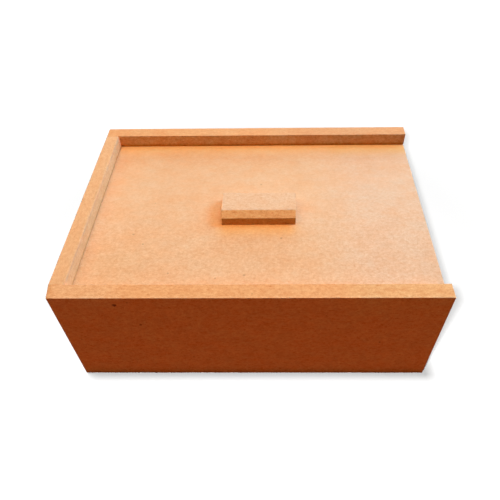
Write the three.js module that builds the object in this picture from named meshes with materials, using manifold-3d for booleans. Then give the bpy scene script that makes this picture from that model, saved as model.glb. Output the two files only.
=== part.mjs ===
// A raw fibreboard box for papers and keepsakes, with a thin lid that slides in grooves under the rim.
// Millimetres, +Z up. The origin is the middle of the underside. The front faces -Y, and the lid
// slides out towards +X, over the low wall at that end.

import * as THREE from 'three';
import { mergeVertices } from 'three/addons/utils/BufferGeometryUtils.js';
import Module from 'manifold-3d';

// The box, outside
const BOX_LENGTH = 200;
const BOX_WIDTH = 150;
const BOX_HEIGHT = 70;
const WALL_THICKNESS = 9;

// The lid, the groove that it runs in, and how far its top lies under the rim
const LID_THICKNESS = 3;
const LID_DROP = 7.9;
const LID_GROOVE_DEPTH = 4;
const LID_PLAY = 0.3;
const LID_EDGE_PLAY = 0.5;

// The bottom panel, its groove, and how far the walls stand below it
const BOTTOM_THICKNESS = 3;
const BOTTOM_RAISE = 4;
const BOTTOM_GROOVE_DEPTH = 4;
const BOTTOM_PLAY = 0.3;
const BOTTOM_EDGE_PLAY = 0.5;

// The grip: a block with sloped long edges, glued a little to the front right of the lid's middle
const GRIP_LENGTH = 42.5;
const GRIP_DEPTH = 22.3;
const GRIP_SLOPE_RUN = 3.6;
const GRIP_SLOPE_RISE = 3.2;
const GRIP_SHIFT_RIGHT = 0.85;
const GRIP_SHIFT_FORWARD = 2.45;

// Headless steel pins. PIN_GAP is the space round a pin, and PIN_SET how far it is driven under the face.
const PIN_DIAMETER = 0.64;
const PIN_LENGTH = 22;
const PIN_GAP = 0.1;
const PIN_SET = 0.3;
const PIN_SIDES = 8;
const WALL_PIN_HEIGHT_SHARES = [0.25, 0.5, 0.75];
const GRIP_PIN_SPACING = 22;
const GRIP_PIN_REACH_SHARE = 0.75;

// Cutting tools run this far past the faces that they open
const CUT_OVERRUN = 1;

// Places that several pieces share
const INNER_LENGTH = BOX_LENGTH - 2 * WALL_THICKNESS;
const INNER_WIDTH = BOX_WIDTH - 2 * WALL_THICKNESS;
const LONG_WALL_Y = (BOX_WIDTH - WALL_THICKNESS) / 2;
const END_WALL_X = (BOX_LENGTH - WALL_THICKNESS) / 2;
const LID_TOP = BOX_HEIGHT - LID_DROP;
const LID_GROOVE_FLOOR = LID_TOP - LID_THICKNESS - LID_PLAY;
const LID_GROOVE_ROOF = LID_TOP + LID_PLAY;
const BOTTOM_GROOVE_ROOF = BOTTOM_RAISE + BOTTOM_THICKNESS + BOTTOM_PLAY;
const GRIP_HEIGHT = LID_DROP;

const wasm = await Module();
wasm.setup();

// Solids

function solidOf(geometry) {
  const bare = geometry.clone();
  bare.deleteAttribute('normal');
  bare.deleteAttribute('uv');
  const merged = mergeVertices(bare);
  const mesh = new wasm.Mesh({
    numProp: 3,
    vertProperties: Float32Array.from(merged.attributes.position.array),
    triVerts: Uint32Array.from(merged.index.array),
  });
  return new wasm.Manifold(mesh);
}

function geometryOf(solid) {
  const mesh = solid.getMesh();
  const geometry = new THREE.BufferGeometry();
  geometry.setAttribute('position', new THREE.BufferAttribute(mesh.vertProperties, 3));
  geometry.setIndex(new THREE.BufferAttribute(mesh.triVerts, 1));
  geometry.computeVertexNormals();
  return geometry;
}

// The first shape with all the others cut out of it
function cut(geometry, tools) {
  const solid = tools.reduce((left, tool) => left.subtract(solidOf(tool)), solidOf(geometry));
  return geometryOf(solid);
}

// A box between two opposite corners, each given as [x, y, z]
function block(cornerA, cornerB) {
  const corners = [cornerA, cornerB].map((corner) => new THREE.Vector3(...corner));
  const bounds = new THREE.Box3().setFromPoints(corners);
  const size = bounds.getSize(new THREE.Vector3());
  const middle = bounds.getCenter(new THREE.Vector3());
  return new THREE.BoxGeometry(size.x, size.y, size.z).translate(middle.x, middle.y, middle.z);
}

// A round rod or hole along Y, from y = start to y = end
function rodAlongY(diameter, start, end) {
  const rod = new THREE.CylinderGeometry(diameter / 2, diameter / 2, Math.abs(end - start), PIN_SIDES);
  return rod.translate(0, (start + end) / 2, 0);
}

// Materials

function board(color) {
  return new THREE.MeshStandardMaterial({ color, roughness: 0.85, metalness: 0, flatShading: true });
}

function steel() {
  return new THREE.MeshStandardMaterial({ color: 0xb4b6b8, roughness: 0.4, metalness: 0.9, flatShading: true });
}

const WALL_COLOR = 0xf0b47e;
const PANEL_COLOR = 0xf3bb8e;
const GRIP_COLOR = 0xf5c096;

// Places one named piece in a group
function place(group, name, geometry, material, x, y, z) {
  const mesh = new THREE.Mesh(geometry, material);
  mesh.name = name;
  mesh.position.set(x, y, z);
  group.add(mesh);
  return mesh;
}

// The four corners, each with the side of the box that it lies on along X and along Y
const CORNERS = [
  { name: 'front_left', sideX: -1, sideY: -1 },
  { name: 'front_right', sideX: 1, sideY: -1 },
  { name: 'back_left', sideX: -1, sideY: 1 },
  { name: 'back_right', sideX: 1, sideY: 1 },
];

// The heights of the pins lie between the two grooves, so no pin crosses one
const WALL_PIN_HEIGHTS = WALL_PIN_HEIGHT_SHARES.map((share) => (
  THREE.MathUtils.lerp(BOTTOM_GROOVE_ROOF, LID_GROOVE_FLOOR, share)
));
const HOLE_DIAMETER = PIN_DIAMETER + 2 * PIN_GAP;

// A front or back wall, centred on its own thickness. side is -1 for the front and 1 for the back,
// so the inside of the box lies towards -side. The lid's groove opens at the right end only.
function longWall(side) {
  const innerFace = -side * WALL_THICKNESS / 2;
  const past = innerFace - side * CUT_OVERRUN;
  const lidGrooveBed = innerFace + side * LID_GROOVE_DEPTH;
  const bottomGrooveBed = innerFace + side * BOTTOM_GROOVE_DEPTH;
  const lidGrooveEnd = INNER_LENGTH / 2 + LID_GROOVE_DEPTH;
  const bottomGrooveEnd = INNER_LENGTH / 2 + BOTTOM_GROOVE_DEPTH;
  const tools = [
    block([-lidGrooveEnd, lidGrooveBed, LID_GROOVE_FLOOR], [BOX_LENGTH / 2 + CUT_OVERRUN, past, LID_GROOVE_ROOF]),
    block([-bottomGrooveEnd, bottomGrooveBed, BOTTOM_RAISE], [bottomGrooveEnd, past, BOTTOM_GROOVE_ROOF]),
  ];
  const holeHalf = WALL_THICKNESS / 2 + CUT_OVERRUN;
  for (const end of [-1, 1]) {
    for (const height of WALL_PIN_HEIGHTS) {
      tools.push(rodAlongY(HOLE_DIAMETER, -holeHalf, holeHalf).translate(end * END_WALL_X, 0, height));
    }
  }
  const blank = block(
    [-BOX_LENGTH / 2, -WALL_THICKNESS / 2, 0],
    [BOX_LENGTH / 2, WALL_THICKNESS / 2, BOX_HEIGHT],
  );
  return cut(blank, tools);
}

// An end wall between the long walls. side is -1 for the left and 1 for the right. Only the left
// one reaches the rim and is grooved for the lid. The right one stops level with the groove's floor.
function endWall(side) {
  const innerFace = -side * WALL_THICKNESS / 2;
  const past = innerFace - side * CUT_OVERRUN;
  const halfWidth = INNER_WIDTH / 2;
  const groove = (depth, floor, roof) => block(
    [innerFace + side * depth, -halfWidth - CUT_OVERRUN, floor],
    [past, halfWidth + CUT_OVERRUN, roof],
  );
  const tools = [groove(BOTTOM_GROOVE_DEPTH, BOTTOM_RAISE, BOTTOM_GROOVE_ROOF)];
  const height = side < 0 ? BOX_HEIGHT : LID_GROOVE_FLOOR;
  if (side < 0) {
    tools.push(groove(LID_GROOVE_DEPTH, LID_GROOVE_FLOOR, LID_GROOVE_ROOF));
  }
  const holeDepth = PIN_SET + PIN_LENGTH + PIN_GAP - WALL_THICKNESS;
  for (const end of [-1, 1]) {
    for (const pinHeight of WALL_PIN_HEIGHTS) {
      const hole = rodAlongY(HOLE_DIAMETER, end * (halfWidth + CUT_OVERRUN), end * (halfWidth - holeDepth));
      tools.push(hole.translate(0, 0, pinHeight));
    }
  }
  const blank = block([-WALL_THICKNESS / 2, -halfWidth, 0], [WALL_THICKNESS / 2, halfWidth, height]);
  return cut(blank, tools);
}

// The bottom panel, let into the grooves of all four walls
function bottomPanel() {
  const halfLength = INNER_LENGTH / 2 + BOTTOM_GROOVE_DEPTH - BOTTOM_EDGE_PLAY;
  const halfWidth = INNER_WIDTH / 2 + BOTTOM_GROOVE_DEPTH - BOTTOM_EDGE_PLAY;
  return block([-halfLength, -halfWidth, 0], [halfLength, halfWidth, BOTTOM_THICKNESS]);
}

// The lid runs from the left wall's groove to the right ends of the long walls
const LID_LEFT = -(INNER_LENGTH / 2 + LID_GROOVE_DEPTH - LID_EDGE_PLAY);
const LID_RIGHT = BOX_LENGTH / 2;
const LID_LENGTH = LID_RIGHT - LID_LEFT;
const LID_WIDTH = INNER_WIDTH + 2 * (LID_GROOVE_DEPTH - LID_EDGE_PLAY);

// Where the grip's pins stand, in the lid's own frame, whose origin is the middle of the lid's top
const GRIP_PIN_PLACES = [-1, 1].map((end) => [
  GRIP_SHIFT_RIGHT + end * GRIP_PIN_SPACING / 2,
  -GRIP_SHIFT_FORWARD,
]);
const GRIP_PIN_BOTTOM = -LID_THICKNESS + PIN_SET;
const GRIP_PIN_TOP = GRIP_HEIGHT * GRIP_PIN_REACH_SHARE;

// A round rod or hole along Z, from z = bottom to z = top
function rodAlongZ(diameter, bottom, top) {
  return rodAlongY(diameter, bottom, top).rotateX(Math.PI / 2);
}

// The lid panel, with the pins' holes right through it
function lidPanel() {
  const blank = block([-LID_LENGTH / 2, -LID_WIDTH / 2, -LID_THICKNESS], [LID_LENGTH / 2, LID_WIDTH / 2, 0]);
  const holes = GRIP_PIN_PLACES.map(([x, y]) => (
    rodAlongZ(HOLE_DIAMETER, -LID_THICKNESS - CUT_OVERRUN, CUT_OVERRUN).translate(x, y, 0)
  ));
  return cut(blank, holes);
}

// The grip: one section, drawn across the box and carried along it, with blind holes for its pins
function lidGrip() {
  const half = GRIP_DEPTH / 2;
  const shoulder = GRIP_HEIGHT - GRIP_SLOPE_RISE;
  const section = new THREE.Shape([
    new THREE.Vector2(-half, 0),
    new THREE.Vector2(half, 0),
    new THREE.Vector2(half, shoulder),
    new THREE.Vector2(half - GRIP_SLOPE_RUN, GRIP_HEIGHT),
    new THREE.Vector2(-half + GRIP_SLOPE_RUN, GRIP_HEIGHT),
    new THREE.Vector2(-half, shoulder),
  ]);
  const bar = new THREE.ExtrudeGeometry(section, { depth: GRIP_LENGTH, bevelEnabled: false });
  bar.translate(0, 0, -GRIP_LENGTH / 2).rotateX(Math.PI / 2).rotateZ(Math.PI / 2);
  const holes = GRIP_PIN_PLACES.map(([x, y]) => (
    rodAlongZ(HOLE_DIAMETER, -CUT_OVERRUN, GRIP_PIN_TOP + PIN_GAP)
      .translate(x - GRIP_SHIFT_RIGHT, y + GRIP_SHIFT_FORWARD, 0)
  ));
  return cut(bar, holes);
}

// The fixed part of the box

const carcass = new THREE.Group();
place(carcass, 'front_wall', longWall(-1), board(WALL_COLOR), 0, -LONG_WALL_Y, 0);
place(carcass, 'back_wall', longWall(1), board(WALL_COLOR), 0, LONG_WALL_Y, 0);
place(carcass, 'left_end_wall', endWall(-1), board(WALL_COLOR), -END_WALL_X, 0, 0);
place(carcass, 'right_end_wall', endWall(1), board(WALL_COLOR), END_WALL_X, 0, 0);
place(carcass, 'bottom_panel', bottomPanel(), board(PANEL_COLOR), 0, 0, BOTTOM_RAISE);

// Each pin goes in through a long wall's face, towards the middle of the box
for (const { name, sideX, sideY } of CORNERS) {
  WALL_PIN_HEIGHTS.forEach((height, index) => {
    const pin = rodAlongY(PIN_DIAMETER, -sideY * PIN_SET, -sideY * (PIN_SET + PIN_LENGTH));
    const pinName = `${name}_pin_${index + 1}`;
    place(carcass, pinName, pin, steel(), sideX * END_WALL_X, sideY * BOX_WIDTH / 2, height);
  });
}

// The sliding lid with its grip

const lid = new THREE.Group();
lid.position.set((LID_LEFT + LID_RIGHT) / 2, 0, LID_TOP);
place(lid, 'lid_panel', lidPanel(), board(PANEL_COLOR), 0, 0, 0);
place(lid, 'lid_grip', lidGrip(), board(GRIP_COLOR), GRIP_SHIFT_RIGHT, -GRIP_SHIFT_FORWARD, 0);
GRIP_PIN_PLACES.forEach(([x, y], index) => {
  const pin = rodAlongZ(PIN_DIAMETER, GRIP_PIN_BOTTOM, GRIP_PIN_TOP);
  place(lid, `grip_pin_${index + 1}`, pin, steel(), x, y, 0);
});

const box = new THREE.Group();
box.add(carcass, lid);

export default box;
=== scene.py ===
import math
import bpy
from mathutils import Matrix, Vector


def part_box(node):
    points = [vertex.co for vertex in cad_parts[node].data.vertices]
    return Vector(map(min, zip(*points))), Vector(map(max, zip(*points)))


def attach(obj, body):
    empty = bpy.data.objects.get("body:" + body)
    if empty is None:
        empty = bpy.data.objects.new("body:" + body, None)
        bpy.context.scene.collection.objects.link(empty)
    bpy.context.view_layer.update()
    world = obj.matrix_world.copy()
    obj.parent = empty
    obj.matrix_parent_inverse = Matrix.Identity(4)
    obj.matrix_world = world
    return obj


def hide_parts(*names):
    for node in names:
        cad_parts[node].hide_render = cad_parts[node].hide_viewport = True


bl_info = {
    "name": "Sliding lid box",
    "version": (1, 0, 0),
    "blender": (4, 5, 0),
    "location": "3D View > Sidebar > Sliding lid box",
    "description": "A raw fibreboard box with a sliding lid, dressed round its packed frame",
    "category": "Object",
}

from typing import NamedTuple

import bmesh
import bpy
import numpy as np
from bpy.props import FloatProperty, FloatVectorProperty, IntProperty, PointerProperty
from mathutils import Vector

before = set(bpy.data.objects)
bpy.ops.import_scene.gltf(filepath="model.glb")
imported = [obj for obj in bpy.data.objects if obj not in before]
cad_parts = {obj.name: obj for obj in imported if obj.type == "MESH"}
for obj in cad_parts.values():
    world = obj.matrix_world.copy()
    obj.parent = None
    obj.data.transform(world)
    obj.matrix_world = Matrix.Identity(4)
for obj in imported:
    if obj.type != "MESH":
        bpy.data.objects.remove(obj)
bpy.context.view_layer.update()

BOX_BODY = "box"
LID_BODY = "lid"
X, Y, Z = range(3)
WHITE = (1.0, 1.0, 1.0)


# Sizes read from the frame, in metres

def corners_of(node):
    """Lowest and highest corner of a node, as two arrays."""
    low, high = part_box(node)
    return np.array(low), np.array(high)


FRONT_LOW, FRONT_HIGH = corners_of("front_wall")
LEFT, RIGHT = FRONT_LOW[X], FRONT_HIGH[X]
FRONT_Y = FRONT_LOW[Y]
BACK_Y = corners_of("back_wall")[1][Y]
RIM = FRONT_HIGH[Z]
WALL = FRONT_HIGH[Y] - FRONT_LOW[Y]
INNER_X = (RIGHT - LEFT) / 2 - WALL
INNER_Y = BACK_Y - WALL
LID_LOW, LID_HIGH = corners_of("lid_panel")
BOTTOM_LOW, BOTTOM_HIGH = corners_of("bottom_panel")
GRIP_LOW, GRIP_HIGH = corners_of("lid_grip")
LID_GROOVE_FLOOR = corners_of("right_end_wall")[1][Z]
# Both panels have as much room over them in their grooves as the lid has under it
PANEL_PLAY = LID_LOW[Z] - LID_GROOVE_FLOOR
LID_GROOVE_ROOF = LID_HIGH[Z] + PANEL_PLAY
BOTTOM_GROOVE_ROOF = BOTTOM_HIGH[Z] + PANEL_PLAY


# What a user would change

class BoxShape(bpy.types.PropertyGroup):
    """How the boards' arrises are eased and worn."""

    arris: FloatProperty(
        name="Arris", description="How far an outer arris is eased back from its corner",
        default=0.00025, min=0, unit="LENGTH")
    joint_arris: FloatProperty(
        name="Joint arris", description="How far an arris is eased back where boards butt",
        default=0.00012, min=0, unit="LENGTH")
    inner_arris: FloatProperty(
        name="Inner arris", description="How far the left wall's sanded arris over the lid is eased",
        default=0.0011, min=0, unit="LENGTH")
    lip_wear: FloatProperty(
        name="Lip wear", description="How far the left wall's lip over the lid is sanded back",
        default=0.001, min=0, unit="LENGTH")
    grip_arris: FloatProperty(
        name="Grip arris", description="How far the grip's arrises are eased back",
        default=0.00028, min=0, unit="LENGTH")
    groove_arris: FloatProperty(
        name="Groove arris", description="How far the arrises at the grooves' mouths are eased",
        default=0.00015, min=0, unit="LENGTH")
    arris_wave: FloatProperty(
        name="Arris wave", description="How much the easing varies along a board, as a share of it",
        default=0.45, min=0, max=1, subtype="FACTOR")
    edge_play: FloatProperty(
        name="Edge play", description="Room past a panel's edge at the bed of its groove",
        default=0.0005, min=0, unit="LENGTH")
    slope_run: FloatProperty(
        name="Slope run", description="How far the grip's slopes reach in over its top",
        default=0.0036, min=0, unit="LENGTH")
    slope_rise: FloatProperty(
        name="Slope rise", description="How high the grip's slopes are",
        default=0.0032, min=0, unit="LENGTH")
    corner_wear: FloatProperty(
        name="Corner wear", description="How far the front left corner is rubbed down",
        default=0.0009, min=0, unit="LENGTH")
    corner_wear_reach: FloatProperty(
        name="Corner wear reach", description="How far the corner's wear reaches along the arrises",
        default=0.006, min=0, unit="LENGTH")
    arris_room: FloatProperty(
        name="Arris room", description="Most of an edge's length that one arris may take",
        default=0.45, min=0, max=0.5, subtype="FACTOR")
    pitch: FloatProperty(
        name="Pitch", description="Spacing of the rings along a board",
        default=0.001, min=0.0002, unit="LENGTH")
    arris_steps: IntProperty(
        name="Arris steps", description="Points across an eased arris",
        default=5, min=2)


class BoardFinish(bpy.types.PropertyGroup):
    """The colours and texture of raw fibreboard."""

    face: FloatVectorProperty(
        name="Face", description="Colour of a board's pressed face",
        default=(0.91, 0.49, 0.258), subtype="COLOR", size=3)
    cut: FloatVectorProperty(
        name="Cut edge", description="Colour of a sawn edge",
        default=(0.88, 0.425, 0.19), subtype="COLOR", size=3)
    fleck: FloatVectorProperty(
        name="Fleck", description="Colour of the dark bark flecks in the board",
        default=(0.25, 0.08, 0.02), subtype="COLOR", size=3)
    speckle: FloatProperty(
        name="Speckle", description="Strength of the fine speckle",
        default=0.54, min=0, subtype="FACTOR")
    speckle_size: FloatProperty(
        name="Speckle size", description="Size of the coarsest specks",
        default=0.0013, min=0.0001, unit="LENGTH")
    layers: FloatProperty(
        name="Layers", description="Strength of the layers on a sawn edge",
        default=0.15, min=0, subtype="FACTOR")
    layer_size: FloatProperty(
        name="Layer size", description="Length of the layers' streaks",
        default=0.005, min=0.0001, unit="LENGTH")
    mottle: FloatVectorProperty(
        name="Mottle", description="How the mottling shifts red, green and blue, from yellowish to pinkish",
        default=(-0.03, 0.18, 0.36), size=3)
    mottle_size: FloatProperty(
        name="Mottle size", description="Size of the largest pinkish and yellowish patches",
        default=0.014, min=0.0001, unit="LENGTH")
    patches: FloatProperty(
        name="Patches", description="Strength of the lighter and darker patches",
        default=0.075, min=0, subtype="FACTOR")
    patch_size: FloatProperty(
        name="Patch size", description="Size of the largest lighter and darker patches",
        default=0.010, min=0.0001, unit="LENGTH")
    fibres: FloatProperty(
        name="Fibres", description="Strength of the single fibres",
        default=0.07, min=0, subtype="FACTOR")
    # Painted shade and warm bounce light on the lid at the back wall's and the grip's foot: what that warm
    # tint does to red, green and blue
    tint_and_painted_light: FloatVectorProperty(
        name="TintBox", description="What the warm stain where two boards meet does to red, green and blue",
        default=(1.01, 0.965, 0.73), size=3)
    # How far that painted shade and warm bounce light spreads
    painted_light_reach: FloatProperty(
        name="Stain reach", description="How far the warm stain spreads",
        default=0.013, min=0.0001, unit="LENGTH")
    fleck_spacing: FloatProperty(
        name="Fleck spacing", description="Size of the cells that hold one fleck at most",
        default=0.009, min=0.0001, unit="LENGTH")
    fleck_size: FloatProperty(
        name="Fleck size", description="Radius of the largest scattered fleck",
        default=0.0007, min=0.0001, unit="LENGTH")
    fleck_depth: FloatProperty(
        name="Fleck depth", description="Strength of the scattered flecks",
        default=0.28, min=0, max=1, subtype="FACTOR")
    rubbed: FloatProperty(
        name="Rubbed", description="How much paler a worn arris is",
        default=0.35, min=0, max=1, subtype="FACTOR")
    roughness: FloatProperty(
        name="Roughness", description="Roughness of the raw board",
        default=0.88, min=0, max=1, subtype="FACTOR")
    relief: FloatProperty(
        name="Relief", description="Height of the fibres over the surface",
        default=0.00005, min=0, unit="LENGTH")


class StudioLight(bpy.types.PropertyGroup):
    """The dim surroundings and the floor."""

    surroundings: FloatVectorProperty(
        name="Surroundings", description="Warm light that reaches the object from all round",
        default=(0.02, 0.03, 0.01), subtype="COLOR", size=3)
    floor_glow: FloatVectorProperty(
        name="Floor glow", description="Warm light that the floor throws back on the object",
        default=(0.455, 0.116, 0.031), subtype="COLOR", size=3)
    floor_shade: FloatProperty(
        name="Floor shade", description="How bright the floor is where no lamp reaches it",
        default=0.15, min=0, max=1, subtype="FACTOR")
    floor_grey: FloatProperty(
        name="Floor grey", description="How much of its lamps' light the floor throws back",
        default=0.1, min=0, max=1, subtype="FACTOR")


# Outlines and boards

# Most that two faces may turn from each other and still look like one round surface
SHARP_ANGLE = math.radians(40)
# How near points are that count as one, and how thin a face is that counts as none, in metres
MERGE_DISTANCE = 1e-7
THIN_DISTANCE = 1e-8
# The waves of an arris: shortest and longest, in metres, how many are added, and how high they reach
WAVE_LENGTHS = (0.006, 0.045)
WAVE_COUNT = 7
WAVE_PEAK = 1.4


def outline_ways(corners):
    """Unit direction of the edge that leaves each corner of a closed outline."""
    ways = np.roll(corners, -1, axis=0) - corners
    return ways / np.linalg.norm(ways, axis=1)[:, None]


def drawn_in(corners, ways, depths):
    """Moves every edge of a counter-clockwise outline inwards by its own depth.

    A corner between edges with inward normals n1, n2 and depths d1, d2 moves by the s for which
    n1.s = d1 and n2.s = d2: s = ((d1 - c d2) n1 + (d2 - c d1) n2) / (1 - c^2), with c = n1.n2.
    """
    normal = np.stack([-ways[:, 1], ways[:, 0]], axis=1)
    before = np.roll(normal, 1, axis=0)
    cosine = (normal * before).sum(axis=1)
    last = np.roll(depths, 1, axis=1)
    move = (depths - cosine * last)[..., None] * normal + (last - cosine * depths)[..., None] * before
    return corners + move / (1 - cosine ** 2)[:, None]


def eased(corners, ways, setback, steps):
    """Replaces each corner P of an outline by a parabola between its two edges.

    It is (1-t)^2 (P - s a) + 2 t (1-t) P + t^2 (P + s b): a and b are the directions of the edges that
    reach and leave P, s is the setback and t runs from 0 to 1. Returns points and 4 t (1-t).
    """
    arriving = np.roll(ways, 1, axis=0)
    t = np.linspace(0, 1, steps)[:, None]
    start = (corners - setback[..., None] * arriving)[:, :, None]
    end = (corners + setback[..., None] * ways)[:, :, None]
    points = (1 - t) ** 2 * start + 2 * t * (1 - t) * corners[:, :, None] + t ** 2 * end
    worn = np.broadcast_to(4 * (t * (1 - t))[:, 0], points.shape[:3])
    return points.reshape(len(corners), -1, 2), worn.reshape(len(corners), -1)


def smooth_wave(places, seed):
    """A slow wave between about -1 and 1 along a board, of sines of seeded lengths and phases.

    It is the sum of sin(2 pi x / length + phase), divided by the root of their number and by the peak.
    """
    rng = np.random.default_rng(seed)
    lengths = rng.uniform(*WAVE_LENGTHS, WAVE_COUNT)
    phases = rng.uniform(0, 2 * math.pi, WAVE_COUNT)
    waves = np.sin(2 * math.pi * places[:, None] / lengths + phases)
    return waves.sum(axis=1) / np.sqrt(WAVE_COUNT) / WAVE_PEAK


def ring_places(stops, arris_low, arris_high, pitch, steps):
    """Places of the rings along a board, how far each is drawn in, and the stretch that it is in.

    Both ends are quarter circles: at r (1 - cos a) from the end a ring is drawn in by r (1 - sin a).
    Each stop between two stretches gets two rings, so that a groove can begin there.
    """
    turn = np.linspace(0, math.pi / 2, steps)
    places = [stops[0] + arris_low * (1 - np.cos(turn))]
    depths = [arris_low * (1 - np.sin(turn))]
    stretches = [np.zeros(steps, int)]
    starts = [stops[0] + arris_low, *stops[1:-1]]
    ends = [*stops[1:-1], stops[-1] - arris_high]
    for index, (start, end) in enumerate(zip(starts, ends)):
        count = max(2, int(round((end - start) / pitch)) + 1)
        places.append(np.linspace(start, end, count))
        depths.append(np.zeros(count))
        stretches.append(np.full(count, index))
    places.append(stops[-1] - arris_high * (1 - np.cos(turn[::-1])))
    depths.append(arris_high * (1 - np.sin(turn[::-1])))
    stretches.append(np.full(steps, len(stops) - 2))
    return np.concatenate(places), np.concatenate(depths), np.concatenate(stretches)


def skin(name, rings, worn):
    """A closed mesh from rings of points, (stations, points, 3), with a face over each end.

    worn, (stations, points), is kept as the attribute that says how near a point is to an arris.
    """
    stations, points = rings.shape[:2]
    index = np.arange(stations * points).reshape(stations, points)
    after = np.roll(index, -1, axis=1)
    quads = np.stack([index[:-1], after[:-1], after[1:], index[1:]], axis=-1).reshape(-1, 4)
    faces = quads.tolist() + [index[0, ::-1].tolist(), index[-1].tolist()]
    mesh = bpy.data.meshes.new(name)
    mesh.from_pydata(rings.reshape(-1, 3), [], faces)
    attribute = mesh.attributes.new("worn", "FLOAT", "POINT")
    attribute.data.foreach_set("value", worn.astype(np.float32).ravel())
    mesh.validate()
    mesh.update()
    piece = bpy.data.objects.new(name, mesh)
    bpy.context.scene.collection.objects.link(piece)
    return piece


def tidy_skin(piece):
    """Merges doubled points, drops faces with no area, and turns every face outwards."""
    shell = bmesh.new()
    shell.from_mesh(piece.data)
    bmesh.ops.remove_doubles(shell, verts=shell.verts, dist=MERGE_DISTANCE)
    bmesh.ops.dissolve_degenerate(shell, dist=THIN_DISTANCE, edges=shell.edges)
    bmesh.ops.recalc_face_normals(shell, faces=shell.faces)
    shell.to_mesh(piece.data)
    shell.free()
    return piece


def board(stretches, stops, end_arris, along, seed, end_shares=1.0):
    """A board: an outline carried along an axis, X or Y, with eased arrises and ends.

    stretches holds an outline and its corners' setbacks for each stretch between the stops, with the
    same corners in each. The edges' directions are the middle stretch's, which has every edge.
    end_shares says how much of the ends' easing each edge gets. Returns the rings, an array of
    (stations, points, 3), and how worn each point is.
    """
    shape = bpy.context.scene.box_shape
    places, depths, stretch = ring_places(stops, *end_arris, shape.pitch, shape.arris_steps)
    ways = outline_ways(stretches[len(stretches) // 2][0])
    outlines = np.stack([outline for outline, _ in stretches])[stretch]
    outlines = drawn_in(outlines, ways, depths[:, None] * end_shares)
    setbacks = np.stack([setback for _, setback in stretches])[stretch]
    waves = np.stack([smooth_wave(places, seed + n) for n in range(len(ways))], axis=1)
    eased_by = setbacks * (1 + shape.arris_wave * waves)
    lengths = np.linalg.norm(np.roll(outlines, -1, axis=1) - outlines, axis=2)
    room = np.minimum(lengths, np.roll(lengths, 1, axis=1)) * shape.arris_room
    points, worn = eased(outlines, ways, np.minimum(eased_by, room), shape.arris_steps)
    other = [axis for axis in range(3) if axis != along]
    rings = np.empty((*points.shape[:2], 3))
    rings[..., along] = places[:, None]
    rings[..., other[0]] = points[..., 0]
    rings[..., other[1]] = points[..., 1]
    proud = (setbacks > shape.groove_arris).repeat(shape.arris_steps, axis=1)
    end_eased = np.where(places < places.mean(), *end_arris)
    proud_end = (depths > 0) & (end_eased > shape.groove_arris)
    return rings, np.maximum(worn * proud, proud_end[:, None])


def rectangle(low, high):
    """The four corners of a rectangle, counter-clockwise."""
    return np.array([(low[0], low[1]), (high[0], low[1]), (high[0], high[1]), (low[0], high[1])])


def grooved(outer, inner, lid_bed, bottom_bed):
    """A wall's section up to the rim, with the two grooves let into its inner face.

    The beds are the places of the grooves' beds; a bed on the inner face means no groove there.
    """
    return np.array([
        (outer, 0.0), (inner, 0.0),
        (inner, BOTTOM_LOW[Z]), (bottom_bed, BOTTOM_LOW[Z]),
        (bottom_bed, BOTTOM_GROOVE_ROOF), (inner, BOTTOM_GROOVE_ROOF),
        (inner, LID_GROOVE_FLOOR), (lid_bed, LID_GROOVE_FLOOR),
        (lid_bed, LID_GROOVE_ROOF), (inner, LID_GROOVE_ROOF),
        (inner, RIM), (outer, RIM),
    ])


# Materials

# How far a surface faces along the board's thickness where a cut edge ends and a pressed face begins
FACE_TURN = (0.80, 0.95)
# Detail and roughness of each noise
PATCH_NOISE = (2.0, 0.7)
MOTTLE_NOISE = (3.0, 0.8)
SPECKLE_NOISE = (3.0, 0.85)
LAYER_NOISE = (3.0, 0.8)
FIBRE_NOISE = (1.0, 0.5)
# Fibres: width in metres, length over width, the ways they lie, and the noise's values at their edge
FIBRE_WIDTH = 0.0004
FIBRE_DRAW = 7.0
FIBRE_ANGLES = [math.radians(angle) for angle in (20, 80, 140)]
FIBRE_EDGE = (0.58, 0.74)
# How much longer than thick the layers of a cut edge are
LAYER_DRAW = 6.0
# How much a light or dark spot changes red, green and blue
PIT_COLOUR = (0.72, 1.6, 2.2)
# Power by which a tint box's colour fades with distance
TINT_FALL = 2.0
# Scattered flecks: the random numbers of the cells with the least and the largest one, and the
# roughness and the softness of their outline, in cells
FLECK_CHANCE = (0.55, 1.0)
FLECK_RAGGED = 0.12
FLECK_EDGE = (-0.02, 0.03)
# The roughness and the softness of a single fleck's outline, as shares of its radius
MARK_RAGGED = 1.5
MARK_EDGE = (0.6, 1.3)
# A worn arris: its colour over the face's, and how much the mottling varies it
WORN_TINT = (1.06, 1.25, 1.5)
WORN_VARIES = 2.0
# How much the speckle varies the roughness, how deep the dark fibres are, and the bump's strength
ROUGHNESS_VARIES = 0.15
DARK_FIBRE_DEPTH = 0.3
BUMP_STRENGTH = 0.4
# Specular level of the raw board
BOARD_SHINE = 0.03
# The pins' wire: the width of its lines in metres, how much longer they are, their noise, the darkest
# and the brightest colour, and the least and the most roughness
WIRE_LINE = 0.00025
WIRE_DRAW = 10.0
WIRE_NOISE = (2.0, 0.6)
WIRE_COLOURS = ((0.38, 0.39, 0.40), (0.55, 0.56, 0.57))
WIRE_ROUGHNESS = (0.3, 0.5)


class TintBox(NamedTuple):
    """A box, and the colour that the board is multiplied by in it and, fading, as far as reach from it."""

    low: tuple
    high: tuple
    reach: float
    colour: tuple


class Strength(NamedTuple):
    """A box, and the shares of the fine texture's and of the patches' strength that they have in it."""

    low: tuple
    high: tuple
    reach: float
    fine: float
    cloud: float


class Fleck(NamedTuple):
    """A single dark fleck: its middle, its radius, and how much of its colour shows."""

    centre: tuple
    radius: float
    depth: float


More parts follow.
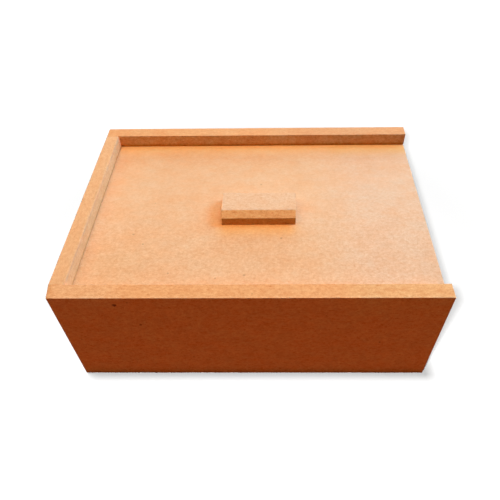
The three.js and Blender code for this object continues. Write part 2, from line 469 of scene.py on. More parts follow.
class Graph:
    """Fills a node tree, node by node."""

    def __init__(self, name):
        self.material = bpy.data.materials.new(name)
        self.material.use_nodes = True
        self.use(self.material.node_tree)
        self.shader = self.nodes["Principled BSDF"]

    def use(self, tree):
        """Takes the node tree that is filled."""
        self.nodes = tree.nodes
        self.links = tree.links

    @classmethod
    def over(cls, tree):
        """The same helper on a node tree that is there already, such as the world's."""
        graph = cls.__new__(cls)
        graph.use(tree)
        return graph

    def add(self, kind, inputs=(), **settings):
        """A node with its settings, and its inputs given by name or number."""
        node = self.nodes.new(kind)
        for key, value in settings.items():
            setattr(node, key, value)
        for key, value in dict(inputs).items():
            if isinstance(value, bpy.types.NodeSocket):
                self.links.new(value, node.inputs[key])
            else:
                node.inputs[key].default_value = value
        return node

    def math(self, operation, a, b=0.0, c=0.0, clamp=False):
        """One operation on single numbers."""
        inputs = {0: a, 1: b, 2: c}
        return self.add("ShaderNodeMath", inputs, operation=operation, use_clamp=clamp).outputs[0]

    def vector(self, operation, a, b=(0.0, 0.0, 0.0), c=(0.0, 0.0, 0.0)):
        """The same on three channels at once; a distance or a length is a single number."""
        outputs = self.add("ShaderNodeVectorMath", {0: a, 1: b, 2: c}, operation=operation).outputs
        return outputs["Value" if operation in ("DISTANCE", "LENGTH") else "Vector"]

    def centred(self, value):
        """A noise's value moved to lie round 0."""
        return self.math("SUBTRACT", value, 0.5)

    def mix(self, factor, a, b):
        """Colour a where the factor is 0, colour b where it is 1."""
        a, b = [value if isinstance(value, bpy.types.NodeSocket) else (*value, 1.0) for value in (a, b)]
        return self.add("ShaderNodeMix", {0: factor, 6: a, 7: b}, data_type="RGBA").outputs[2]

    def ramp(self, value, low, high):
        """0 below low, 1 above high, and a smooth step between."""
        inputs = {0: value, 1: low, 2: high}
        return self.add("ShaderNodeMapRange", inputs, interpolation_type="SMOOTHSTEP").outputs[0]

    def scaled_along(self, place, axis, factor):
        """Coordinates scaled along one axis, which draws a pattern out along it if factor is under 1."""
        scale = [1.0, 1.0, 1.0]
        scale[axis] = factor
        return self.add("ShaderNodeMapping", {"Vector": place, "Scale": scale}).outputs[0]

    def noise(self, place, size, detail, rough):
        """Noise from 0 to 1 whose largest spots have about this size."""
        inputs = {"Vector": place, "Scale": 1 / size, "Detail": detail, "Roughness": rough}
        return self.add("ShaderNodeTexNoise", inputs).outputs["Fac"]


def scaled(colour, factor):
    """A colour with each channel times a factor, or times its own factor."""
    return tuple(np.array(colour) * np.array(factor))


def strokes(graph, place, broad_axis, angle):
    """Short fibres that lie one way: noise drawn out along a line in the board's plane, 0 to 1."""
    turn = [0.0, 0.0, 0.0]
    turn[broad_axis] = angle
    drawn = [1.0, 1.0, 1.0]
    drawn[(broad_axis + 1) % 3] = FIBRE_DRAW
    inputs = {"Vector": place, "Rotation": turn, "Scale": drawn}
    lines = graph.add("ShaderNodeMapping", inputs, vector_type="TEXTURE").outputs[0]
    return graph.ramp(graph.noise(lines, FIBRE_WIDTH, *FIBRE_NOISE), *FIBRE_EDGE)


def nearness(graph, place, box):
    """1 in a stain's or a strength's box, falling smoothly to 0 at its reach.

    The distance of p from a box with centre c and half-size h is the length of max(|p - c| - h, 0).
    """
    centre = (np.array(box.low) + np.array(box.high)) / 2
    half = (np.array(box.high) - np.array(box.low)) / 2
    away = graph.vector("ABSOLUTE", graph.vector("SUBTRACT", place, tuple(centre)))
    away = graph.vector("MAXIMUM", graph.vector("SUBTRACT", away, tuple(half)))
    return graph.math("SUBTRACT", 1.0, graph.ramp(graph.vector("LENGTH", away), 0.0, box.reach))


def board_noises(graph, place, long_axis, broad_axis, draw):
    """Patches, mottling, speckle and layers, each round 0 and drawn out along the board."""
    finish = bpy.context.scene.board_finish
    lay = graph.scaled_along(place, long_axis, 1 / draw)
    patches = graph.centred(graph.noise(lay, finish.patch_size, *PATCH_NOISE))
    mottle = graph.centred(graph.noise(lay, finish.mottle_size, *MOTTLE_NOISE))
    speckle = graph.centred(graph.noise(lay, finish.speckle_size, *SPECKLE_NOISE))
    pressed = graph.scaled_along(lay, broad_axis, LAYER_DRAW)
    layers = graph.centred(graph.noise(pressed, finish.layer_size, *LAYER_NOISE))
    return patches, mottle, speckle, layers


def tinted_in_boxes(graph, colour, where, tint_boxes):
    """The colour times each stain's own, in and near its box."""
    for tint_and_painted_light in tint_boxes:
        near = graph.math("POWER", nearness(graph, where, tint_and_painted_light), TINT_FALL)
        colour = graph.mix(near, colour, graph.vector("MULTIPLY", colour, tuple(tint_and_painted_light.colour)))
    return colour


def flecked(graph, colour, where, place, speckle, flecks):
    """The colour with scattered flecks, at most one in each cell, and with the single ones given."""
    finish = bpy.context.scene.board_finish
    inputs = {"Vector": place, "Scale": 1 / finish.fleck_spacing}
    cells = graph.add("ShaderNodeTexVoronoi", inputs, feature="F1")
    chance = graph.add("ShaderNodeSeparateColor", {0: cells.outputs["Color"]}).outputs[0]
    largest = finish.fleck_size / finish.fleck_spacing
    size = graph.math("MULTIPLY", graph.ramp(chance, *FLECK_CHANCE), largest)
    size = graph.math("MULTIPLY_ADD", speckle, FLECK_RAGGED, size)
    spot = graph.ramp(graph.math("SUBTRACT", size, cells.outputs["Distance"]), *FLECK_EDGE)
    colour = graph.mix(graph.math("MULTIPLY", spot, finish.fleck_depth), colour, finish.fleck)
    for fleck in flecks:
        away = graph.vector("DISTANCE", where, fleck.centre)
        ragged = graph.math("MULTIPLY_ADD", speckle, fleck.radius * MARK_RAGGED, away)
        inner, outer = [fleck.radius * share for share in MARK_EDGE]
        mark = graph.math("SUBTRACT", 1.0, graph.ramp(ragged, inner, outer))
        colour = graph.mix(graph.math("MULTIPLY", mark, fleck.depth), colour, finish.fleck)
    return colour


def board_material(name, seed, long_axis, broad_axis, face_tint=1.0, cut_tint=1.0, grain=(1.0, 1.0),
                   cloud=1.0, draw=1.6, flecks=(), tint_boxes=(), strengths=()):
    """Raw fibreboard, with the board's long axis and the one across its pressed faces.

    Soft patches, fine speckle, short fibres and sparse dark flecks, drawn out along the board; every
    face but the pressed ones is a cut edge, more orange and in faint layers; worn arrises are paler.
    Dark spots are deeper in green and blue than in red, as the pits between fibres are. grain says how
    strong the fine texture is on the faces and on the cut edges, cloud how strong the patches are, and
    draw how much longer than wide the specks are.
    """
    finish = bpy.context.scene.board_finish
    graph = Graph(name)
    coordinates = graph.add("ShaderNodeTexCoord").outputs
    where = coordinates["Object"]
    shift = np.random.default_rng(seed).uniform(-1, 1, 3)
    place = graph.add("ShaderNodeMapping", {"Vector": where, "Location": shift}).outputs[0]
    normal = graph.add("ShaderNodeSeparateXYZ", {0: coordinates["Normal"]}).outputs[broad_axis]
    broad = graph.ramp(graph.math("ABSOLUTE", normal), *FACE_TURN)
    edge = graph.math("SUBTRACT", 1.0, broad)
    patches, mottle, speckle, layers = board_noises(graph, place, long_axis, broad_axis, draw)
    pale, *darker = [strokes(graph, place, broad_axis, angle) for angle in FIBRE_ANGLES]
    dark = graph.math("ADD", *darker)

    fine = graph.math("MULTIPLY_ADD", edge, grain[1] - grain[0], grain[0])
    cloudy = cloud
    for strength in strengths:
        near = nearness(graph, where, strength)
        fine = graph.math("MULTIPLY", fine, graph.math("MULTIPLY_ADD", near, strength.fine - 1, 1.0))
        cloudy = graph.math("MULTIPLY", cloudy, graph.math("MULTIPLY_ADD", near, strength.cloud - 1, 1.0))
    tone = graph.math("MULTIPLY", speckle, finish.speckle)
    tone = graph.math("MULTIPLY_ADD", graph.math("MULTIPLY", layers, edge), finish.layers, tone)
    tone = graph.math("MULTIPLY_ADD", pale, finish.fibres, tone)
    tone = graph.math("MULTIPLY_ADD", dark, -finish.fibres, tone)
    tone = graph.math("MULTIPLY", tone, fine)
    tone = graph.math("MULTIPLY_ADD", graph.math("MULTIPLY", patches, cloudy), finish.patches, tone)
    tone = graph.vector("MULTIPLY_ADD", tone, PIT_COLOUR, WHITE)
    hue = graph.math("MULTIPLY", mottle, cloudy)
    hue = graph.vector("MULTIPLY_ADD", hue, tuple(finish.mottle), WHITE)

    colour = graph.mix(broad, scaled(finish.cut, cut_tint), scaled(finish.face, face_tint))
    colour = graph.vector("MULTIPLY", graph.vector("MULTIPLY", colour, tone), hue)
    colour = tinted_in_boxes(graph, colour, where, tint_boxes)
    colour = flecked(graph, colour, where, place, speckle, flecks)
    worn = graph.add("ShaderNodeAttribute", attribute_name="worn").outputs["Fac"]
    rubbed = graph.math("MULTIPLY", worn, graph.math("MULTIPLY_ADD", mottle, WORN_VARIES, finish.rubbed))
    colour = graph.mix(rubbed, colour, scaled(finish.face, WORN_TINT))

    graph.links.new(colour, graph.shader.inputs["Base Color"])
    rough = graph.math("MULTIPLY_ADD", speckle, ROUGHNESS_VARIES, finish.roughness, clamp=True)
    graph.links.new(rough, graph.shader.inputs["Roughness"])
    relief = graph.math("ADD", speckle, graph.math("MULTIPLY_ADD", dark, -DARK_FIBRE_DEPTH, pale))
    inputs = {"Height": relief, "Strength": BUMP_STRENGTH, "Distance": finish.relief}
    bump = graph.add("ShaderNodeBump", inputs)
    graph.links.new(bump.outputs[0], graph.shader.inputs["Normal"])
    graph.shader.inputs["Specular IOR Level"].default_value = BOARD_SHINE
    return graph.material


def steel_material():
    """Bright drawn wire, with fine lines along it."""
    graph = Graph("pin_wire")
    where = graph.add("ShaderNodeTexCoord").outputs["Object"]
    lines = graph.noise(graph.scaled_along(where, Y, 1 / WIRE_DRAW), WIRE_LINE, *WIRE_NOISE)
    graph.links.new(graph.mix(lines, *WIRE_COLOURS), graph.shader.inputs["Base Color"])
    least, most = WIRE_ROUGHNESS
    rough = graph.math("MULTIPLY_ADD", lines, most - least, least)
    graph.links.new(rough, graph.shader.inputs["Roughness"])
    graph.shader.inputs["Metallic"].default_value = 1.0
    return graph.material


# What the photograph shows on each board. First where it begins or ends, in metres from the box's
# middle, then how far in from an edge or out from the grip it lies

RIM_PALE_LEFT_X = -0.075
RIM_PALE_RIGHT_X = 0.06
BACK_DULL_X = 0.04
BACK_WARM_X = 0.055
LID_LIT_RIGHT_X = 0.07
LID_SMOOTH_Y = 0.03
LID_DULL_X = (-0.09, -0.07)
LID_DULL_Y = (-0.066, -0.045)

RIM_EDGE_IN = 0.0006
RIM_TEXTURE_IN = 0.001
BACK_GLOW_IN = 0.003
BACK_WARM_IN = 0.005
GRIP_GLOW_OUT = 0.003
GRIP_GLOW_LEFT_IN = 0.003
GRIP_GLOW_RIGHT_IN = 0.005

# The painted light on the left wall's lip ends this many inner arrises under the rim
LIP_LIGHT_TOP = 1.4


def front_wall_material():
    """The front wall: its rim is paler at both ends and along the edge, and its foot is darker."""
    inner = -INNER_Y
    flecks = [
        Fleck((-0.0664, FRONT_Y, 0.0646), radius=0.0010, depth=0.9),
        Fleck((-0.0569, FRONT_Y, 0.0485), radius=0.0007, depth=0.6),
        Fleck((0.0695, FRONT_Y, 0.0322), radius=0.0006, depth=0.5),
        Fleck((-0.0919, FRONT_Y, 0.0349), radius=0.0006, depth=0.3),
    ]
    rim_left = TintBox(
        (LEFT, FRONT_Y, RIM), (RIM_PALE_LEFT_X, inner, RIM), reach=0.03, colour=(1.0, 1.06, 1.17))
    rim_right = TintBox(
        (RIM_PALE_RIGHT_X, FRONT_Y, RIM), (RIGHT, inner, RIM), reach=0.03, colour=(0.975, 1.05, 1.06))
    # Painted shade: the wall darker at its foot, by the floor
    foot = TintBox((LEFT, FRONT_Y, 0.0), (RIGHT, FRONT_Y, 0.0), reach=0.009, colour=(0.76, 0.77, 0.62))
    edge_y = FRONT_Y + RIM_EDGE_IN
    edge = TintBox((LEFT, edge_y, RIM), (RIGHT, edge_y, RIM), reach=0.0014, colour=(1.04, 1.09, 1.2))
    rim = Strength(
        (LEFT, FRONT_Y + RIM_TEXTURE_IN, RIM), (RIGHT, inner, RIM), reach=RIM_TEXTURE_IN, fine=1.1,
        cloud=0.35)
    return board_material(
        "front_wall_board", 1, X, Y, cut_tint=(1.03, 0.98, 0.92), grain=(1.5, 1.35), cloud=2.3,
        flecks=flecks, tint_boxes=[rim_left, rim_right, foot, edge], strengths=[rim])


def back_wall_material():
    """The back wall: smoother outside, duller at its right end, darker where it meets the lid."""
    dull = TintBox(
        (BACK_DULL_X, INNER_Y, LID_GROOVE_ROOF), (RIGHT, BACK_Y, RIM), reach=0.06,
        colour=(0.93, 0.94, 1.0))
    # Painted shade: a dark line on the inner face where it meets the lid
    foot = TintBox(
        (LEFT, INNER_Y, LID_GROOVE_ROOF), (RIGHT, INNER_Y, LID_GROOVE_ROOF), reach=0.0035,
        colour=(0.68, 0.48, 0.1))
    outside = Strength((LEFT, BACK_Y, 0.0), (RIGHT, BACK_Y, RIM), reach=WALL / 2, fine=0.7, cloud=0.35)
    rim = Strength(
        (LEFT, INNER_Y, RIM), (RIGHT, BACK_Y - RIM_TEXTURE_IN, RIM), reach=RIM_TEXTURE_IN, fine=1.2,
        cloud=0.5)
    # The darker, warmer face tint is painted shade, set for the inner face over the lid; it darkens the
    # outer face too
    return board_material(
        "back_wall_board", 2, X, Y, face_tint=(0.93, 0.88, 0.8), cut_tint=(0.965, 0.93, 0.89),
        grain=(1.6, 0.9), cloud=3.0, tint_boxes=[dull, foot], strengths=[outside, rim])


def left_end_material():
    """The left wall: pale dust on its lip over the lid, and a darker line at the lip's foot."""
    shape = bpy.context.scene.box_shape
    lip = -INNER_X - shape.lip_wear
    foot_low = (lip, FRONT_Y, LID_GROOVE_ROOF)
    # Painted light: the lip's inner face over the lid paler and greyer, as where light from the right falls
    # on it
    painted_lip_light = TintBox(
        foot_low, (lip, BACK_Y, RIM - LIP_LIGHT_TOP * shape.inner_arris), reach=shape.inner_arris,
        colour=(1.08, 1.14, 1.02))
    # Painted shade: a dark line at the lip's foot, over the lid
    foot = TintBox(foot_low, (lip, BACK_Y, LID_GROOVE_ROOF), reach=0.0022, colour=(0.78, 0.65, 0.46))
    return board_material("left_end_board", 3, Y, X, cut_tint=(1.04, 1.09, 1.15), tint_boxes=[painted_lip_light, foot])


def lid_material():
    """The lid: warm at the back wall's and the grip's foot, paler on the right, duller in front."""
    finish = bpy.context.scene.board_finish
    left, front, top = LID_LOW[X], LID_LOW[Y], LID_HIGH[Z]
    right, back = LID_HIGH[X], LID_HIGH[Y]
    grip_left, grip_right = GRIP_LOW[X], GRIP_HIGH[X]
    glow_y = GRIP_LOW[Y] - GRIP_GLOW_OUT
    flecks = [
        Fleck((-0.0607, -0.0294, top), radius=0.0006, depth=0.4),
        Fleck((0.0165, -0.0250, top), radius=0.0006, depth=0.4),
        Fleck((-0.0032, -0.0529, top), radius=0.0006, depth=0.35),
        Fleck((-0.0436, -0.0514, top), radius=0.0006, depth=0.35),
        Fleck((-0.0184, -0.0550, top), radius=0.0005, depth=0.35),
    ]
    # Painted shade and warm bounce light: warmer, with less blue, along the back wall's foot
    back_foot = TintBox(
        (left, INNER_Y - BACK_GLOW_IN, top), (right, INNER_Y, top), reach=finish.painted_light_reach,
        colour=finish.tint_and_painted_light)
    # More of that painted shade and bounce light towards the right end of the back wall
    back_right = TintBox(
        (BACK_WARM_X, INNER_Y - BACK_WARM_IN, top), (right, INNER_Y, top), reach=0.016,
        colour=(0.98, 0.94, 0.80))
    # Painted shade and warm bounce light: warmer, with less blue, in front of the grip
    grip_foot = TintBox(
        (grip_left + GRIP_GLOW_LEFT_IN, glow_y, top), (grip_right - GRIP_GLOW_RIGHT_IN, glow_y, top),
        reach=finish.painted_light_reach, colour=(1.06, 0.935, 0.64))
    # Painted shadow: darker just left of the grip
    beside_grip = TintBox(
        (grip_left, GRIP_LOW[Y], top), (grip_left, GRIP_HIGH[Y], top), reach=0.003,
        colour=(0.88, 0.78, 0.62))
    # Painted light: paler and bluer towards the right, where the light from the right falls
    whiter = TintBox(
        (LID_LIT_RIGHT_X, -INNER_Y, top), (right, INNER_Y, top), reach=0.06, colour=(0.985, 1.03, 1.15))
    # Painted light: paler by the left wall's foot
    left_foot = TintBox((left, front, top), (-INNER_X, back, top), reach=0.004, colour=(1.02, 1.06, 1.05))
    # Painted shade: darker towards the front wall
    front_foot = TintBox((left, front, top), (right, -INNER_Y, top), reach=0.06, colour=(0.95, 0.95, 0.94))
    # Painted shade: darker towards the front left corner
    near_corner = TintBox(
        (LID_DULL_X[0], LID_DULL_Y[0], top), (LID_DULL_X[1], LID_DULL_Y[1], top), reach=0.03,
        colour=(0.98, 0.985, 0.965))
    smooth = Strength((left, LID_SMOOTH_Y, top), (right, back, top), reach=0.07, fine=0.5, cloud=1.2)
    return board_material(
        "lid_board", 6, X, Z, cloud=1.4, draw=1.4, flecks=flecks, strengths=[smooth],
        tint_boxes=[back_foot, back_right, grip_foot, beside_grip, whiter, left_foot, front_foot, near_corner])


def grip_material():
    """The grip: darker on its front under the slope, where it is held."""
    shape = bpy.context.scene.box_shape
    shoulder = GRIP_HIGH[Z] - shape.slope_rise
    # Painted shade: the front under the slope darker
    painted_front_shade = TintBox(
        GRIP_LOW, (GRIP_HIGH[X], GRIP_LOW[Y], shoulder), reach=shape.grip_arris,
        colour=(0.625, 0.54, 0.37))
    # The face and cut tints are painted light: they make the top and the slopes paler, where the light from
    # above falls
    return board_material(
        "grip_block", 7, X, Z, face_tint=(1.0, 1.05, 1.135), cut_tint=(1.13, 1.18, 1.14),
        grain=(1.0, 1.6), tint_boxes=[painted_front_shade])


def finish_piece(name, rings, worn, material, body, slot, *nodes):
    """Makes the piece, gives it its finish, and stands it in for its CAD nodes."""
    piece = tidy_skin(skin(name, rings, worn))
    piece.data.materials.append(material)
    piece.data.polygons.foreach_set("use_smooth", np.ones(len(piece.data.polygons), bool))
    piece.data.set_sharp_from_angle(angle=SHARP_ANGLE)
    even = piece.modifiers.new("even_normals", "WEIGHTED_NORMAL")
    even.mode = "FACE_AREA"
    even.keep_sharp = True
    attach(piece, body)
    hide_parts(*nodes)


# Operators

# The camera's lens and sensor in millimetres, shift in shares of the sensor's width, nearest distance
# and place in metres, and turn in degrees
LENS = 34.505
SENSOR_WIDTH = 36.0
LENS_SHIFT = (-0.0368, 0.0978)
NEAREST = 0.01
CAMERA_PLACE = (0.01344, -0.22172, 0.24861)
CAMERA_TURN = (39.313, 0.774, 0.480)


class BOX_OT_make_camera(bpy.types.Operator):
    """Sets the camera where the photograph was taken from"""

    bl_idname = "box.make_camera"
    bl_label = "Camera"

    def execute(self, context):
        data = bpy.data.cameras.new("camera")
        data.lens = LENS
        data.sensor_width = SENSOR_WIDTH
        data.shift_x, data.shift_y = LENS_SHIFT
        data.clip_start = NEAREST
        camera = bpy.data.objects.new("camera", data)
        camera.location = CAMERA_PLACE
        camera.rotation_euler = [math.radians(turn) for turn in CAMERA_TURN]
        context.scene.collection.objects.link(camera)
        context.scene.camera = camera
        return {"FINISHED"}


def long_wall(side):
    """Rings of the front wall, side -1, or the back wall, side 1.

    The grooves are stopped at the left; the lid's runs out at the right, over the low end wall. Each
    stretch has the setback of each corner of its section, less where the end walls hide the corner,
    and shares eases the wall's ends in full on its foot, rim and outer face and less on the nine
    edges within.
    """
    shape = bpy.context.scene.box_shape
    outer, inner = BACK_Y, INNER_Y
    lid_bed = LID_HIGH[Y] + shape.edge_play
    bottom_bed = BOTTOM_HIGH[Y] + shape.edge_play
    solid = grooved(outer, inner, inner, inner)
    both = grooved(outer, inner, lid_bed, bottom_bed)
    lid_only = grooved(outer, inner, lid_bed, inner)
    arris, groove, joint = shape.arris, shape.groove_arris, shape.joint_arris
    joined = np.array([arris, joint, joint, 0, 0, joint, joint, 0, 0, joint, joint, arris])
    inside = np.array([arris, joint, groove, 0, 0, groove, groove, 0, 0, groove, arris, arris])
    mouth = np.array([arris, joint, joint, 0, 0, joint, joint, 0, 0, groove, arris, arris])
    shares = np.array([1, *[joint / arris] * 9, 1, 1])
    stretches = [(solid, joined), (both, joined), (both, inside), (both, mouth), (lid_only, mouth)]
    if side > 0:
        stretches = [(outline[::-1], setback[::-1]) for outline, setback in stretches]
        shares = np.roll(shares[::-1], -1)
    else:
        stretches = [(outline * np.array([-1, 1]), setback) for outline, setback in stretches]
    ends = [LID_LOW[X] - shape.edge_play, -INNER_X, INNER_X, BOTTOM_HIGH[X] + shape.edge_play]
    return board(stretches, [LEFT, *ends, RIGHT], (arris, arris), X, seed=10 + side, end_shares=shares)


def corner_rubbed(rings):
    """The front wall with its left upper corner rubbed down.

    A point at distance d from the corner moves inwards along each axis by wear (1 - d / reach)^2.
    """
    shape = bpy.context.scene.box_shape
    corner = np.array([LEFT, FRONT_Y, RIM])
    away = np.linalg.norm(rings - corner, axis=2) / shape.corner_wear_reach
    rubbed = np.clip(1 - away, 0, 1) ** 2 * shape.corner_wear
    return rings + rubbed[..., None] * np.array([1, 1, -1])


class BOX_OT_make_long_walls(bpy.types.Operator):
    """Makes the front and back walls, grooved for the lid and the bottom"""

    bl_idname = "box.make_long_walls"
    bl_label = "Long walls"

    def execute(self, context):
        rings, worn = long_wall(-1)
        finish_piece("front_wall_board", corner_rubbed(rings), worn, front_wall_material(),
                     BOX_BODY, "wall_board", "front_wall")
        rings, worn = long_wall(1)
        finish_piece("back_wall_board", rings, worn, back_wall_material(),
                     BOX_BODY, "wall_board", "back_wall")
        return {"FINISHED"}


class BOX_OT_make_end_walls(bpy.types.Operator):
    """Makes the left wall, up to the rim, and the low right wall that the lid slides over"""

    bl_idname = "box.make_end_walls"
    bl_label = "End walls"

    def execute(self, context):
        self.left_wall(context.scene.box_shape)
        self.right_wall(context.scene.box_shape)
        return {"FINISHED"}

    def left_wall(self, shape):
        """The wall with both grooves, whose lip over the lid is thinner and softer than its foot."""
        arris, groove, joint = shape.arris, shape.groove_arris, shape.joint_arris
        outer, inner = LEFT, -INNER_X
        lid_bed = LID_LOW[X] - shape.edge_play
        bottom_bed = BOTTOM_LOW[X] - shape.edge_play
        section = grooved(outer, inner, lid_bed, bottom_bed)
        over_lid = section[:, 1] >= LID_GROOVE_ROOF
        section[over_lid & (section[:, 0] == inner), 0] -= shape.lip_wear
        setback = np.array([
            arris, arris, groove, 0, 0, groove, groove, 0, 0, groove, shape.inner_arris, arris])
        rings, worn = board([(section, setback)], [-INNER_Y, INNER_Y], (joint, joint), Y, seed=30)
        worn = worn * (rings[..., X] < (outer + inner) / 2)
        finish_piece("left_end_board", rings, worn, left_end_material(),
                     BOX_BODY, "wall_board", "left_end_wall")

    def right_wall(self, shape):
        """The wall up to the lid groove's floor, with the bottom's groove alone."""
        arris, groove, joint = shape.arris, shape.groove_arris, shape.joint_arris
        outer, inner = RIGHT, INNER_X
        bottom_bed = BOTTOM_HIGH[X] + shape.edge_play
        section = np.array([
            (outer, 0.0), (outer, LID_GROOVE_FLOOR), (inner, LID_GROOVE_FLOOR),
            (inner, BOTTOM_GROOVE_ROOF), (bottom_bed, BOTTOM_GROOVE_ROOF),
            (bottom_bed, BOTTOM_LOW[Z]), (inner, BOTTOM_LOW[Z]), (inner, 0.0),
        ])
        setback = np.array([arris, arris, arris, groove, 0, 0, groove, arris])
        rings, worn = board([(section, setback)], [-INNER_Y, INNER_Y], (joint, joint), Y, seed=40)
        finish_piece("right_end_board", rings, worn, board_material("right_end_board", 4, Y, X),
                     BOX_BODY, "wall_board", "right_end_wall")


def panel(low, high, end_arris, seed):
    """Rings of a thin panel between two corners, with edges as sharp as the grooves' mouths."""
    section = rectangle(low[1:], high[1:])
    setback = np.full(len(section), bpy.context.scene.box_shape.groove_arris)
    return board([(section, setback)], [low[X], high[X]], end_arris, X, seed)


class BOX_OT_make_bottom(bpy.types.Operator):
    """Makes the bottom panel"""

    bl_idname = "box.make_bottom"
    bl_label = "Bottom panel"

    def execute(self, context):
        arris = context.scene.box_shape.groove_arris
        rings, worn = panel(BOTTOM_LOW, BOTTOM_HIGH, (arris, arris), seed=50)
        finish_piece("bottom_board", rings, worn, board_material("bottom_board", 5, X, Z),
                     BOX_BODY, "panel_board", "bottom_panel")
        return {"FINISHED"}


class BOX_OT_make_lid(bpy.types.Operator):
    """Makes the sliding lid panel, whose right end is eased for the hand"""

    bl_idname = "box.make_lid"
    bl_label = "Lid panel"

    def execute(self, context):
        shape = context.scene.box_shape
        rings, worn = panel(LID_LOW, LID_HIGH, (shape.groove_arris, shape.arris), seed=60)
        finish_piece("lid_board", rings, worn, lid_material(), LID_BODY, "panel_board", "lid_panel")
        return {"FINISHED"}


class BOX_OT_make_grip(bpy.types.Operator):
    """Makes the grip block, with a slope along its front and its back"""

    bl_idname = "box.make_grip"
    bl_label = "Grip"

    def execute(self, context):
        shape = context.scene.box_shape
        (front, foot), (back, top) = GRIP_LOW[1:], GRIP_HIGH[1:]
        shoulder = top - shape.slope_rise
        section = np.array([
            (front, foot), (back, foot), (back, shoulder), (back - shape.slope_run, top),
            (front + shape.slope_run, top), (front, shoulder),
        ])
        arris, joint = shape.grip_arris, shape.joint_arris
        setback = np.array([joint, joint, arris, arris, arris, arris])
        ends = [GRIP_LOW[X], GRIP_HIGH[X]]
        rings, worn = board([(section, setback)], ends, (arris, arris), X, seed=70)
        finish_piece("grip_block", rings, worn, grip_material(), LID_BODY, "grip_wood", "lid_grip")
        return {"FINISHED"}


class BOX_OT_finish_pins(bpy.types.Operator):
    """Gives the headless steel pins their finish"""

    bl_idname = "box.finish_pins"
    bl_label = "Pins"

    def execute(self, context):
        material = steel_material()
        for name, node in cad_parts.items():
            if "_pin_" in name:
                for slot in node.material_slots:
                    slot.material = material
        return {"FINISHED"}


# The lamps on the object: name, place and size in metres, and the red, green and blue watts for the
# walls and for the lid's side
LAMPS = (
    ("back", (0.0, 0.9, 0.35), (1.2, 0.3), (5.7, 8.0, 10.6), (2.5, 6.4, 10.5)),
    ("top", (0.0, 0.0, 0.75), (1.0, 0.14), (2.8, 2.2, 1.5), (4.4, 3.1, 1.8)),
    ("right", (0.55, 0.2, 0.55), (0.4, 0.3), (2.5, 3.4, 4.6), (1.2, 3.1, 5.2)),
    ("left", (-0.55, 0.2, 0.55), (0.4, 0.3), (1.4, 1.0, 0.4), (0.7, 0.5, 0.1)),
)
LID_SIDE = ("lid_board", "grip_block", "left_end_board")
# Place, size or radius, and watts of the two lamps that light the floor alone
FLOOR_TOP_LAMP = ((-0.36, 0.25, 6.0), (0.60, 0.48), 1900.0)
FLOOR_NEAR_LAMP = ((0.0008, -0.2217, 0.2566), 0.0090, 200.0)
# Half the floor's side, and how far from the box's middle its own white takes over from the lamps
FLOOR_HALF = 3.0
FLOOR_FADE = (0.16, 0.39)


def pale_rays(graph):
    """1 for the rays that see the pale background: camera, glossy and transmission rays."""
    seen = graph.add("ShaderNodeLightPath").outputs
    pale = graph.math("MAXIMUM", seen["Is Camera Ray"], seen["Is Glossy Ray"])
    return graph.math("MAXIMUM", pale, seen["Is Transmission Ray"])


def floor_material(light):
    """White to the camera, grey where its own lamps don't reach it, and warm to the object."""
    graph = Graph("floor")
    graph.nodes.remove(graph.shader)
    colour = graph.mix(pale_rays(graph), tuple(light.floor_glow), WHITE)
    inputs = {0: colour, "Scale": light.floor_grey}
    dimmed = graph.add("ShaderNodeVectorMath", inputs, operation="SCALE").outputs[0]
    lit = graph.add("ShaderNodeBsdfDiffuse", {"Color": dimmed}).outputs[0]
    away = graph.vector("LENGTH", graph.add("ShaderNodeTexCoord").outputs["Object"])
    whiter = graph.math("MULTIPLY", graph.ramp(away, *FLOOR_FADE), pale_rays(graph))
    shade = graph.math("MULTIPLY_ADD", whiter, 1 - light.floor_shade, light.floor_shade)
    glow = graph.add("ShaderNodeEmission", {"Color": colour, "Strength": shade}).outputs[0]
    both = graph.add("ShaderNodeAddShader", {0: lit, 1: glow}).outputs[0]
    graph.links.new(both, graph.nodes["Material Output"].inputs["Surface"])
    return graph.material


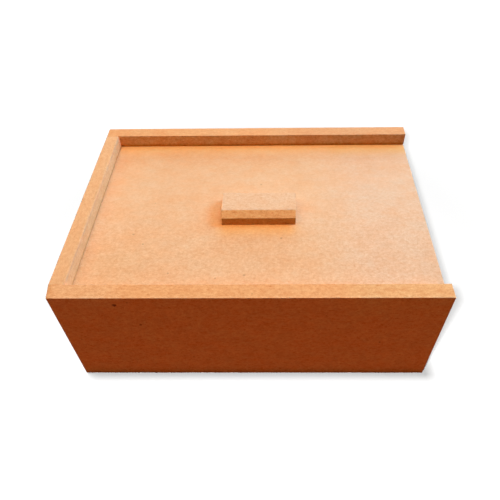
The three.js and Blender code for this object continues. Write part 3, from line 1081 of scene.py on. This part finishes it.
class BOX_OT_make_stage(bpy.types.Operator):
    """Makes the floor, the surroundings and the lamps"""

    bl_idname = "box.make_stage"
    bl_label = "Stage"

    def execute(self, context):
        light = context.scene.studio_light
        context.scene.view_settings.view_transform = "Standard"
        floor = self.floor(light)
        self.surroundings(context.scene, light)
        lid_side = [bpy.data.objects[name] for name in LID_SIDE]
        only_floor = self.receivers("floor_alone", [floor], "INCLUDE")
        only_lid_side = self.receivers("lid_side", lid_side, "INCLUDE")
        only_walls = self.receivers("walls", [floor, *lid_side], "EXCLUDE")
        for name, place, size, on_walls, on_lid_side in LAMPS:
            for group, watts in ((only_walls, on_walls), (only_lid_side, on_lid_side)):
                lamp = self.lamp(name + "_on_" + group.name, watts, place, size, group)
                aim = Vector((0.0, 0.0, RIM)) - lamp.location
                lamp.rotation_euler = aim.to_track_quat("-Z", "Y").to_euler()
        place, size, watts = FLOOR_TOP_LAMP
        self.lamp("floor_top", (watts, watts, watts), place, size, only_floor)
        self.near_lamp(*FLOOR_NEAR_LAMP, only_floor)
        return {"FINISHED"}

    def floor(self, light):
        """A wide floor under the box."""
        mesh = bpy.data.meshes.new("floor")
        corners = rectangle((-FLOOR_HALF, -FLOOR_HALF), (FLOOR_HALF, FLOOR_HALF))
        mesh.from_pydata([(*corner, 0.0) for corner in corners], [], [(0, 1, 2, 3)])
        mesh.materials.append(floor_material(light))
        floor = bpy.data.objects.new("floor", mesh)
        bpy.context.scene.collection.objects.link(floor)
        return floor

    def surroundings(self, scene, light):
        """A white world to the camera, and a dim warm one to the object."""
        world = bpy.data.worlds.new("surroundings")
        world.use_nodes = True
        scene.world = world
        graph = Graph.over(world.node_tree)
        colour = graph.mix(pale_rays(graph), tuple(light.surroundings), WHITE)
        graph.links.new(colour, graph.nodes["Background"].inputs["Color"])

    def receivers(self, name, pieces, state):
        """A collection that a lamp uses to light these pieces alone, or all but these."""
        group = bpy.data.collections.new(name)
        for piece in pieces:
            group.objects.link(piece)
        for member in group.collection_objects:
            member.light_linking.link_state = state
        return group

    def lamp(self, name, watts, place, size, group):
        """A flat lamp with its red, green and blue watts, which lights one group of receivers."""
        data = bpy.data.lights.new(name, "AREA")
        data.shape = "RECTANGLE"
        data.size, data.size_y = size
        data.energy = max(watts)
        data.color = np.array(watts) / max(watts)
        lamp = bpy.data.objects.new(name, data)
        lamp.location = place
        lamp.light_linking.receiver_collection = group
        bpy.context.scene.collection.objects.link(lamp)
        return lamp

    def near_lamp(self, place, radius, watts, group):
        """A small round lamp beside the viewer, as bright on the far floor as on the near one."""
        data = bpy.data.lights.new("floor_near", "POINT")
        data.shadow_soft_size = radius
        data.energy = watts
        data.use_nodes = True
        graph = Graph.over(data.node_tree)
        even = graph.add("ShaderNodeLightFalloff", {"Strength": 1.0}).outputs["Constant"]
        graph.links.new(even, graph.nodes["Emission"].inputs["Strength"])
        lamp = bpy.data.objects.new("floor_near", data)
        lamp.location = place
        lamp.visible_camera = False
        lamp.light_linking.receiver_collection = group
        bpy.context.scene.collection.objects.link(lamp)


class BOX_PT_panel(bpy.types.Panel):
    """Lists the makers of the box's pieces and their settings"""

    bl_idname = "BOX_PT_panel"
    bl_label = "Sliding lid box"
    bl_space_type = "VIEW_3D"
    bl_region_type = "UI"
    bl_category = "Sliding lid box"

    def draw(self, context):
        for maker in MAKERS:
            self.layout.operator(maker.bl_idname)
        for name, group in SETTINGS.items():
            column = self.layout.column(heading=group.__doc__)
            for key in group.__annotations__:
                column.prop(getattr(context.scene, name), key)


MAKERS = (
    BOX_OT_make_camera, BOX_OT_make_long_walls, BOX_OT_make_end_walls, BOX_OT_make_bottom,
    BOX_OT_make_lid, BOX_OT_make_grip, BOX_OT_finish_pins, BOX_OT_make_stage,
)
SETTINGS = {"box_shape": BoxShape, "board_finish": BoardFinish, "studio_light": StudioLight}


def register():
    """Adds the settings, the operators and the panel to Blender."""
    for group in (*SETTINGS.values(), *MAKERS, BOX_PT_panel):
        bpy.utils.register_class(group)
    for name, group in SETTINGS.items():
        setattr(bpy.types.Scene, name, PointerProperty(type=group))


def unregister():
    """Takes the panel, the operators and the settings out again."""
    for name in SETTINGS:
        delattr(bpy.types.Scene, name)
    for group in reversed((*SETTINGS.values(), *MAKERS, BOX_PT_panel)):
        bpy.utils.unregister_class(group)


def main():
    """Makes every piece and the stage, and writes the boxes of the CAD and of the visual model."""
    register()
    for maker in MAKERS:
        group, name = maker.bl_idname.split(".")
        getattr(getattr(bpy.ops, group), name)()


if __name__ == "__main__":
    main()
